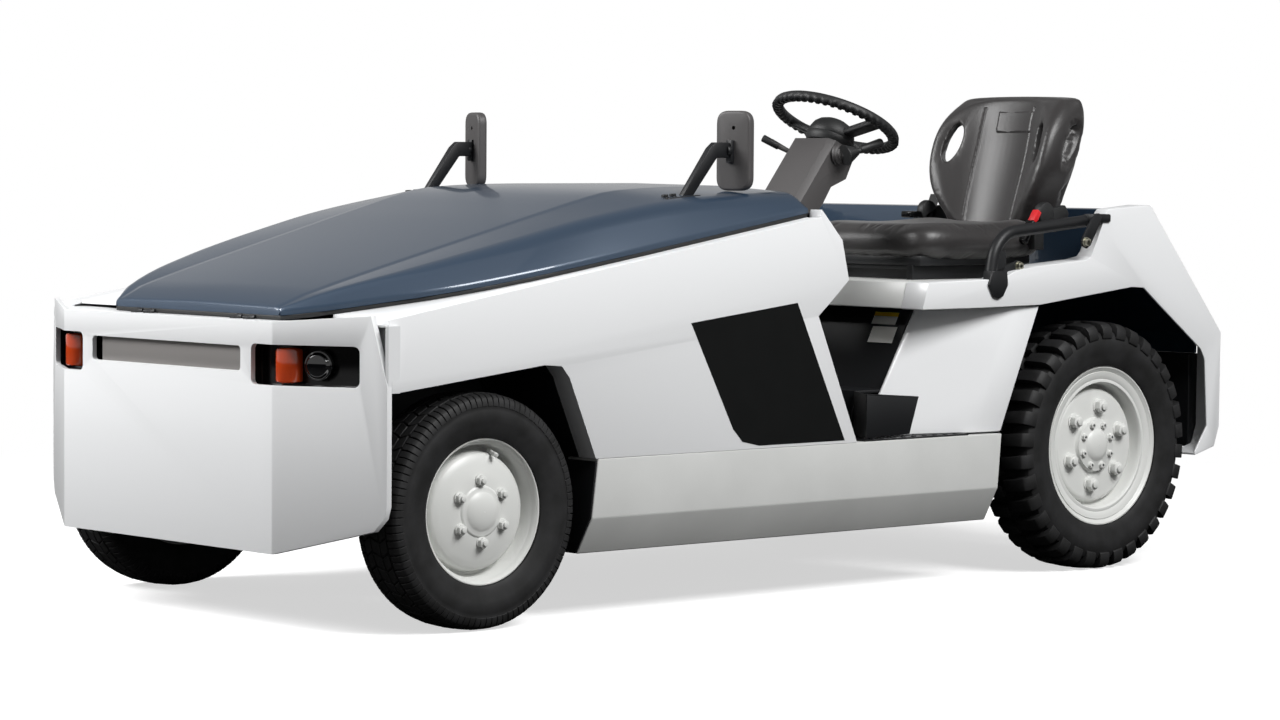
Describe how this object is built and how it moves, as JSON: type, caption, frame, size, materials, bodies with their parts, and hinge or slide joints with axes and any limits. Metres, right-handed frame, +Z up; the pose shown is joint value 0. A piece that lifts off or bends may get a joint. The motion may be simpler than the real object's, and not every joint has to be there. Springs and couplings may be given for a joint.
{
  "type": "airport baggage towing tractor",
  "caption": "Electric towing tractor for airport baggage trains, with a low wedge hood, a steering axle, a side driver's seat and a rear tow hitch.",
  "frame": {"origin": "on the ground, in the middle of the whole length and width", "axes": "+X forward, +Y to the driver's left, +Z up"},
  "size_m": [3.07, 1.336, 1.2655],
  "materials": {
    "white_paint": "gloss",
    "blue_paint": "gloss",
    "black_paint": "satin",
    "wheel_paint": "satin",
    "brushed_plate": "brushed",
    "bright_steel": "satin",
    "cast_iron": "rough",
    "battery_case": "matte",
    "black_plastic": "matte",
    "rubber": "matte",
    "tyre": "matte",
    "seat_vinyl": "satin",
    "amber_lens": "clear",
    "red_lens": "clear",
    "lamp_glass": "clear"
  },
  "bodies": {
    "chassis": {"arch_liners": "black_paint", "battery": "battery_case", "chassis_frame": "black_paint", "cowl": "black_paint", "drive_motor": "cast_iron", "floor_plate": "black_paint", "front_axle": "cast_iron", "front_bumper": "white_paint", "grille_plate": "brushed_plate", "headlamps": "lamp_glass", "hip_rails": "black_paint", "hood_hinges": "black_paint", "kick_panel": "black_paint", "lamp_housings": "black_plastic", "pedals": "rubber", "rear_axle": "cast_iron", "rear_deck": "blue_paint", "rear_fender_left": "white_paint", "rear_fender_right": "white_paint", "rear_lamps": "red_lens", "rear_plate": "black_paint", "seat_back": "seat_vinyl", "seat_base": "black_paint", "seat_belt": "black_plastic", "seat_cushion": "seat_vinyl", "seat_deck": "white_paint", "seat_side_panels": "white_paint", "side_panel_left": "white_paint", "side_panel_right": "white_paint", "sills": "white_paint", "steering_column": "black_plastic", "step_plates": "black_paint", "tow_hitch": "black_paint", "turn_lenses": "amber_lens"},
    "hood": {"hood": "blue_paint", "hood_seal": "rubber", "mirrors": "black_plastic"},
    "steering_wheel": {"steering_wheel": "black_plastic"},
    "hitch_pin": {"hitch_pin": "bright_steel"},
    "knuckle_left": {"knuckle_left": "cast_iron"},
    "knuckle_right": {"knuckle_right": "cast_iron"},
    "tie_rod": {"tie_rod": "bright_steel"},
    "wheel_front_left": {"wheel_front_left": "wheel_paint", "tyre_front_left": "tyre"},
    "wheel_front_right": {"wheel_front_right": "wheel_paint", "tyre_front_right": "tyre"},
    "wheel_rear_left": {"wheel_rear_left": "wheel_paint", "tyre_rear_left": "tyre"},
    "wheel_rear_right": {"wheel_rear_right": "wheel_paint", "tyre_rear_right": "tyre"}
  },
  "joints": [
    {"name": "steer_left", "type": "hinge", "parent": "chassis", "child": "knuckle_left", "pos_m": [1.11, 0.49, 0.272], "axis": [0, 0, 1], "range_deg": [-35, 35]},
    {"name": "steer_right", "type": "hinge", "parent": "chassis", "child": "knuckle_right", "pos_m": [1.11, -0.49, 0.272], "axis": [0, 0, 1], "range_deg": [-35, 35]},
    {"name": "tie_rod_pivot", "type": "hinge", "parent": "knuckle_left", "child": "tie_rod", "pos_m": [0.96, 0.49, 0.2], "axis": [0, 0, 1], "range_deg": [-35, 35]},
    {"name": "steering_turn", "type": "hinge", "parent": "chassis", "child": "steering_wheel", "pos_m": [-0.35, 0.3, 1.165], "axis": [-0.4226, 0, 0.9063], "range_deg": [-525, 525]},
    {"name": "hood_hinge", "type": "hinge", "parent": "chassis", "child": "hood", "pos_m": [1.455, 0, 0.713], "axis": [0, 1, 0], "range_deg": [0, 60]},
    {"name": "hitch_pin_lift", "type": "slide", "parent": "chassis", "child": "hitch_pin", "axis": [0, 0, 1], "range_m": [0, 0.14]},
    {"name": "spin_front_left", "type": "hinge", "parent": "knuckle_left", "child": "wheel_front_left", "pos_m": [1.11, 0.589, 0.272], "axis": [0, 1, 0], "continuous": true},
    {"name": "spin_front_right", "type": "hinge", "parent": "knuckle_right", "child": "wheel_front_right", "pos_m": [1.11, -0.589, 0.272], "axis": [0, 1, 0], "continuous": true},
    {"name": "spin_rear_left", "type": "hinge", "parent": "chassis", "child": "wheel_rear_left", "pos_m": [-1.01, 0.582, 0.328], "axis": [0, 1, 0], "continuous": true},
    {"name": "spin_rear_right", "type": "hinge", "parent": "chassis", "child": "wheel_rear_right", "pos_m": [-1.01, -0.582, 0.328], "axis": [0, 1, 0], "continuous": true}
  ],
  "couplings": [
    {"joint": "steer_right", "follows": "steer_left", "ratio": 1},
    {"joint": "tie_rod_pivot", "follows": "steer_left", "ratio": -1},
    {"joint": "steering_turn", "follows": "steer_left", "ratio": 15}
  ]
}
